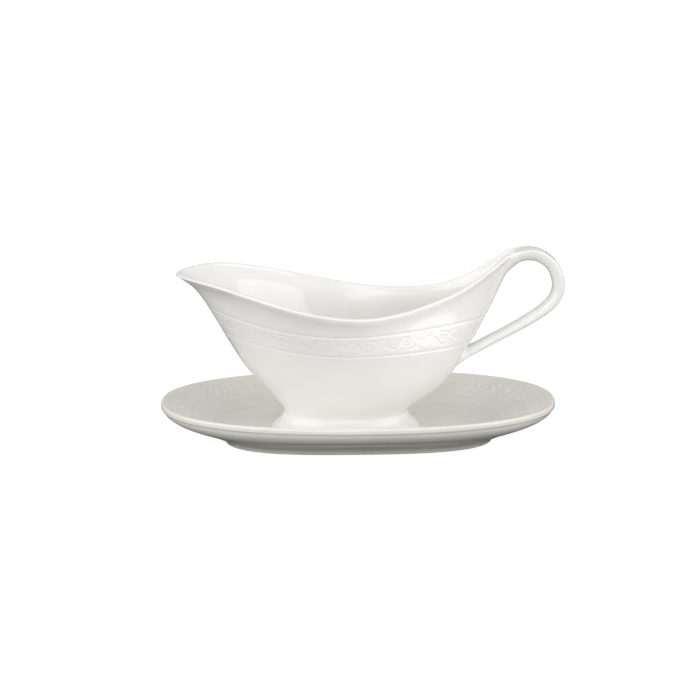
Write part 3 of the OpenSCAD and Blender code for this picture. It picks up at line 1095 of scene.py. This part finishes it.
def linear(hex_colour: str) -> tuple[float, float, float, float]:
    """Turns an sRGB hex colour to linear RGBA.

    Args:
        hex_colour: The colour, such as "#F7F6F3".

    Returns:
        Red, green, blue and an alpha of 1.
    """
    values = [int(hex_colour[i : i + 2], 16) / 255 for i in (1, 3, 5)]
    out = [v / 12.92 if v <= 0.04045 else ((v + 0.055) / 1.055) ** 2.4 for v in values]
    return (out[0], out[1], out[2], 1.0)


def add_node(
    tree: bpy.types.NodeTree,
    kind: str,
    settings: dict[str, object] | None = None,
    links: dict[str | int, bpy.types.NodeSocket] | None = None,
) -> bpy.types.Node:
    """Adds a node, sets it up and links it.

    Args:
        tree: The material's nodes.
        kind: The node's type.
        settings: Values by input name, or by attribute where no input has the name.
        links: Output sockets to join, by input name or number.

    Returns:
        The new node.
    """
    node = tree.nodes.new(kind)
    for name, value in (settings or {}).items():
        if name in node.inputs:
            node.inputs[name].default_value = value
        else:
            setattr(node, name, value)
    for name, socket in (links or {}).items():
        tree.links.new(socket, node.inputs[name])
    return node


@dataclass(frozen=True)
class GlazedPorcelain:
    """Hard-paste porcelain under a clear fired glaze.

    The body is white with a breath of warmth, light goes a little way into it,
    and the glaze lies over it like glass: sharp reflections with the faint
    swim of a surface that flowed in the kiln.
    """

    name: str
    body: str = "#F7F6F3"
    thick_glaze: str = "#F2F1ED"
    roughness: float = 0.025
    # Sizes of the cloudy pooling and of the surface's swim.
    cloud_mm: float = 45.0
    swim_mm: float = 16.0

    def make(self) -> bpy.types.Material:
        """Makes the material.

        Returns:
            The material.
        """
        material = bpy.data.materials.new(self.name)
        material.use_nodes = True
        tree = material.node_tree
        tree.nodes.clear()
        place = add_node(tree, "ShaderNodeTexCoord")
        cloud = add_node(
            tree, "ShaderNodeTexNoise",
            {"Scale": 1000 / self.cloud_mm, "Detail": 2.0, "Roughness": 0.5},
            {"Vector": place.outputs["Object"]},
        )
        pooled = add_node(
            tree, "ShaderNodeMapRange",
            {"From Min": 0.35, "From Max": 0.7},
            {"Value": cloud.outputs["Fac"]},
        )
        colour = add_node(
            tree, "ShaderNodeMix",
            {"data_type": "RGBA"},
        )
        colour.inputs[6].default_value = linear(self.body)
        colour.inputs[7].default_value = linear(self.thick_glaze)
        tree.links.new(pooled.outputs["Result"], colour.inputs["Factor"])
        swim = add_node(
            tree, "ShaderNodeTexNoise",
            {"Scale": 1000 / self.swim_mm, "Detail": 1.0, "Roughness": 0.4},
            {"Vector": place.outputs["Object"]},
        )
        wave = add_node(
            tree, "ShaderNodeBump",
            {"Strength": 0.12, "Distance": 0.0006},
            {"Height": swim.outputs["Fac"]},
        )
        shader = add_node(
            tree, "ShaderNodeBsdfPrincipled",
            {
                "Roughness": self.roughness, "IOR": 1.5, "Subsurface Weight": 0.12,
                "Subsurface Radius": (1.0, 0.95, 0.85), "Subsurface Scale": 0.0012,
                "Coat Weight": 0.2, "Coat Roughness": 0.02,
            },
            {"Base Color": colour.outputs[2], "Normal": wave.outputs["Normal"]},
        )
        add_node(tree, "ShaderNodeOutputMaterial", {}, {"Surface": shader.outputs["BSDF"]})
        return material


@dataclass(frozen=True)
class BarePorcelain:
    """Unglazed porcelain, ground flat where it stood in the kiln.

    It is a dry, matt off-white with a fine sandy tooth.
    """

    name: str
    body: str = "#DEDAD0"
    dusty: str = "#CFC9BC"
    grit_mm: float = 0.5

    def make(self) -> bpy.types.Material:
        """Makes the material.

        Returns:
            The material.
        """
        material = bpy.data.materials.new(self.name)
        material.use_nodes = True
        tree = material.node_tree
        tree.nodes.clear()
        place = add_node(tree, "ShaderNodeTexCoord")
        grit = add_node(
            tree, "ShaderNodeTexNoise",
            {"Scale": 1000 / self.grit_mm, "Detail": 3.0},
            {"Vector": place.outputs["Object"]},
        )
        tooth = add_node(
            tree, "ShaderNodeBump",
            {"Strength": 0.4, "Distance": 0.0001},
            {"Height": grit.outputs["Fac"]},
        )
        shade = add_node(tree, "ShaderNodeMix", {"data_type": "RGBA"})
        shade.inputs[6].default_value = linear(self.body)
        shade.inputs[7].default_value = linear(self.dusty)
        tree.links.new(grit.outputs["Fac"], shade.inputs["Factor"])
        shader = add_node(
            tree, "ShaderNodeBsdfPrincipled",
            {"Roughness": 0.75, "IOR": 1.5},
            {"Base Color": shade.outputs[2], "Normal": tooth.outputs["Normal"]},
        )
        add_node(tree, "ShaderNodeOutputMaterial", {}, {"Surface": shader.outputs["BSDF"]})
        return material


# ------------------------------------------------------------------ studio


@dataclass(frozen=True)
class Softbox:
    """A square or oblong studio light that faces a point."""

    name: str
    place: tuple[float, float, float]
    target: tuple[float, float, float]
    size: tuple[float, float]
    watts: float

    def build(self) -> None:
        """Hangs the light."""
        lamp = bpy.data.lights.new(self.name, "AREA")
        lamp.shape = "RECTANGLE"
        lamp.size, lamp.size_y = self.size
        lamp.energy = self.watts
        made = bpy.data.objects.new(self.name, lamp)
        made.location = self.place
        aim = Vector(self.target) - Vector(self.place)
        made.rotation_euler = aim.to_track_quat("-Z", "Y").to_euler()
        bpy.context.scene.collection.objects.link(made)


class Studio:
    """The pale table, the soft lights and the camera."""

    LIGHTS = (
        Softbox("left_softbox", (-0.98, -0.56, 0.46), (0.0, 0.0, 0.05), (1.4, 1.0), 7.5),
        Softbox("right_softbox", (0.98, -0.56, 0.46), (0.0, 0.0, 0.05), (1.3, 1.0), 6.9),
        Softbox("front_fill", (0.0, -1.8, 0.25), (0.0, 0.0, 0.05), (1.8, 0.5), 5.8),
    )

    def build(self) -> None:
        """Sets everything up."""
        for light in self.LIGHTS:
            light.build()
        self.build_floor()
        self.build_world()
        self.build_camera()

    def build_floor(self) -> None:
        """Lays a plain white table that runs out of sight."""
        mesh = bpy.data.meshes.new("table")
        mesh.from_pydata([(-12, -12, 0), (12, -12, 0), (12, 12, 0), (-12, 12, 0)], [], [(0, 1, 2, 3)])
        floor = bpy.data.objects.new("table", mesh)
        bpy.context.scene.collection.objects.link(floor)
        material = bpy.data.materials.new("white_table")
        material.use_nodes = True
        tree = material.node_tree
        tree.nodes.clear()
        card = add_node(tree, "ShaderNodeBsdfDiffuse", {"Color": linear("#909090")})
        lit = add_node(tree, "ShaderNodeEmission", {"Color": (1, 1, 1, 1), "Strength": 0.9})
        both = add_node(
            tree, "ShaderNodeAddShader", {}, {0: card.outputs["BSDF"], 1: lit.outputs["Emission"]}
        )
        path = add_node(tree, "ShaderNodeLightPath")
        seen = add_node(
            tree, "ShaderNodeMixShader", {},
            {0: path.outputs["Is Camera Ray"], 1: card.outputs["BSDF"], 2: both.outputs["Shader"]},
        )
        add_node(tree, "ShaderNodeOutputMaterial", {}, {"Surface": seen.outputs["Shader"]})
        mesh.materials.append(material)

    def build_world(self) -> None:
        """Fills the room with even white light."""
        world = bpy.data.worlds.new("white_room")
        world.use_nodes = True
        background = world.node_tree.nodes["Background"]
        background.inputs["Color"].default_value = (1, 1, 1, 1)
        background.inputs["Strength"].default_value = 0.58
        bpy.context.scene.world = world
        bpy.context.scene.view_settings.view_transform = "Standard"

    def build_camera(self) -> None:
        """Sets the camera a little above the rim and a touch to the spout's side."""
        azimuth, elevation, distance = math.radians(-2.5), math.radians(13.6), 1.3
        target = Vector((-0.0047, 0.0, 0.0502))
        level = math.cos(elevation)
        back = Vector((math.sin(azimuth) * level, -math.cos(azimuth) * level, math.sin(elevation)))
        data = bpy.data.cameras.new("camera")
        data.sensor_width = 36.0
        data.lens = 36.0 * 2336 / 700
        data.clip_start, data.clip_end = 0.05, 50.0
        camera = bpy.data.objects.new("camera", data)
        camera.location = target + back * distance
        camera.rotation_euler = (-back).to_track_quat("-Z", "Y").to_euler()
        bpy.context.scene.collection.objects.link(camera)
        bpy.context.scene.camera = camera


# -------------------------------------------------------------------- main


def main() -> None:
    """Builds the boat and its stand, dresses them and lights them."""
    logging.basicConfig(level=logging.INFO, format="%(name)s: %(message)s")
    boat_glaze = GlazedPorcelain("glazed_porcelain_boat").make()
    # The stand wears the boat's glaze made darker and greyer. That darkness is painted shade, standing in
    # for the shade the boat and the room cast on the stand. Its warmer tint is its own colour.
    stand_glaze_painted_shade = GlazedPorcelain("glazed_porcelain_stand_painted_shade", body="#EDEBE3", thick_glaze="#E6E4DB").make()
    bare = BarePorcelain("unglazed_porcelain_foot").make()
    stand = Stand(StandPlan.from_frame()).build([stand_glaze_painted_shade, bare])
    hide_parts("stand")
    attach(stand, "stand")
    boat = Boat(BoatPlan.from_frame()).build([boat_glaze, bare])
    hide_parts("bowl", "foot", "handle")
    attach(boat, "boat")
    Studio().build()


if __name__ == "__main__":
    main()
